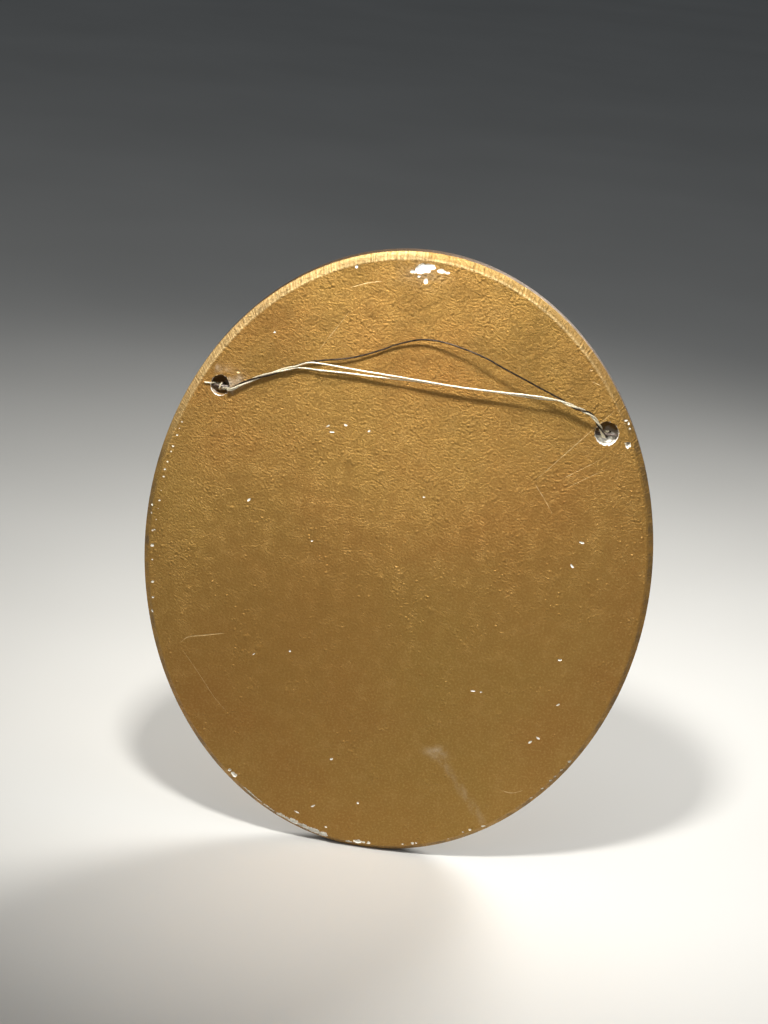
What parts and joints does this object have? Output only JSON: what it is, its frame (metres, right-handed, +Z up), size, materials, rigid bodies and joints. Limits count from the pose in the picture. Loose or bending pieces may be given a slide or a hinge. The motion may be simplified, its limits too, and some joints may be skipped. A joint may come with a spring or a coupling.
{
  "type": "oval chalkware relief wall plaque",
  "caption": "Oval chalkware wall plaque with a flat bronze-painted back, wire sockets and a twisted hanging wire, and a moulded rim round a low floral relief on its front.",
  "frame": {"origin": "middle of the flat back face, where the plaque lies against the wall", "axes": "+Y out of the back, towards the wall; +Z up, along the long axis of the oval; the relief faces -Y"},
  "size_m": [0.254, 0.0297, 0.318],
  "materials": {
    "painted_plaster": "satin bronze-gold paint on white plaster, chipped at the edges",
    "anchor_steel": "dull, tarnished",
    "pale_wire": "pale, worn plating",
    "dark_wire": "dark, oxidised"
  },
  "bodies": {
    "root": {"plaque_casting": "painted_plaster", "left_cross_wire": "anchor_steel", "right_cross_wire": "anchor_steel", "left_twist": "pale_wire", "right_twist": "pale_wire", "upper_pale_wire": "pale_wire", "lower_pale_wire": "pale_wire", "dark_wire": "dark_wire"}
  },
  "joints": []
}
